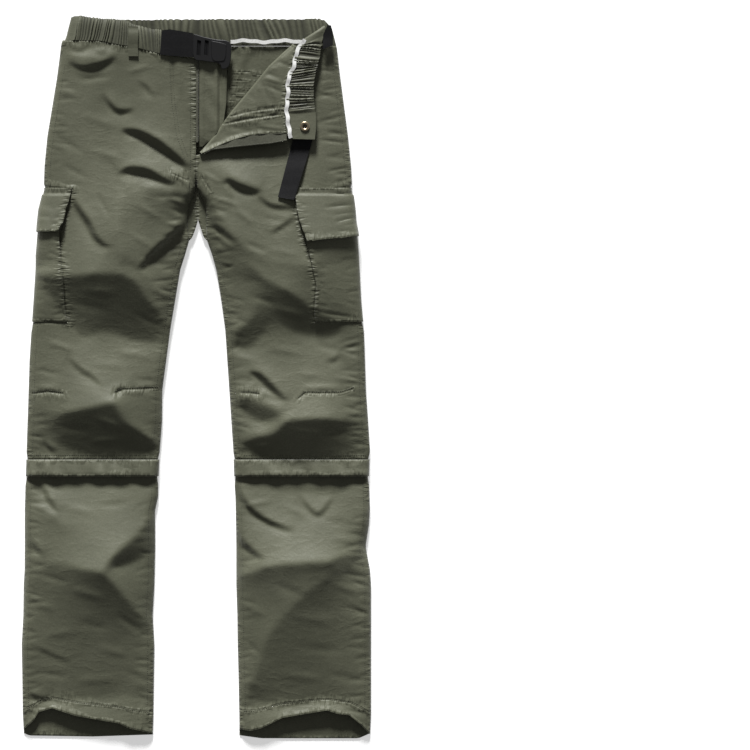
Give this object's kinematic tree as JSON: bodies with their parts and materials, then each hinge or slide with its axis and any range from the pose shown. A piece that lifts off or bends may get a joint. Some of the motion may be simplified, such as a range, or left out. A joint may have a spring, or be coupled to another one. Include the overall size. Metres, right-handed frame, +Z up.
{
  "type": "convertible zip-off trousers",
  "caption": "Olive-grey nylon zip-off hiking trousers laid flat front up, fly open with one front corner turned back, belt webbing, cargo pockets and knee zips",
  "frame": {"origin": "middle of the bounding box on the surface the trousers lie on", "axes": "+X across the garment to the wearer's left, +Y from the hems to the waist, +Z up from the surface through the front"},
  "size_m": [0.5075, 1.0498, 0.0382],
  "materials": {
    "nylon_cloth": "crinkled plain-weave nylon, slight sheen",
    "band_cloth": "doubled plain-weave nylon",
    "zip_tape": "woven zip tape with coil teeth",
    "binding_tape": "soft white woven tape",
    "black_webbing": "ribbed woven webbing",
    "black_plastic": "moulded satin",
    "antique_brass": "antiqued",
    "snap_core": "blackened"
  },
  "bodies": {
    "root": {"front_shorts_right": "nylon_cloth", "front_shorts_left": "nylon_cloth", "back_shorts_right": "nylon_cloth", "back_shorts_left": "nylon_cloth", "lower_leg_front_right": "nylon_cloth", "lower_leg_front_left": "nylon_cloth", "lower_leg_back_right": "nylon_cloth", "lower_leg_back_left": "nylon_cloth", "knee_zip_right": "zip_tape", "knee_zip_left": "zip_tape", "knee_band_right": "band_cloth", "knee_band_left": "band_cloth", "cargo_pocket_right": "nylon_cloth", "cargo_pocket_left": "nylon_cloth", "cargo_flap_right": "band_cloth", "cargo_flap_left": "band_cloth", "waistband_back": "band_cloth", "waistband_front_right": "band_cloth", "waistband_front_left": "band_cloth", "back_pocket_right": "nylon_cloth", "back_pocket_left": "nylon_cloth", "back_flap_right": "band_cloth", "back_flap_left": "band_cloth", "belt_loop_back_right": "band_cloth", "belt_loop_back_centre": "band_cloth", "belt_loop_back_left": "band_cloth", "belt_loop_front": "band_cloth", "fly_zip_right": "zip_tape", "fly_zip_left": "zip_tape", "fly_shield": "nylon_cloth", "waist_tape_back": "binding_tape", "waist_tape_left": "binding_tape", "belt_webbing_right": "black_webbing", "belt_webbing_side": "black_webbing", "belt_webbing_left": "black_webbing", "belt_buckle": "black_plastic", "snap_ring": "antique_brass", "snap_core": "snap_core"}
  },
  "joints": []
}
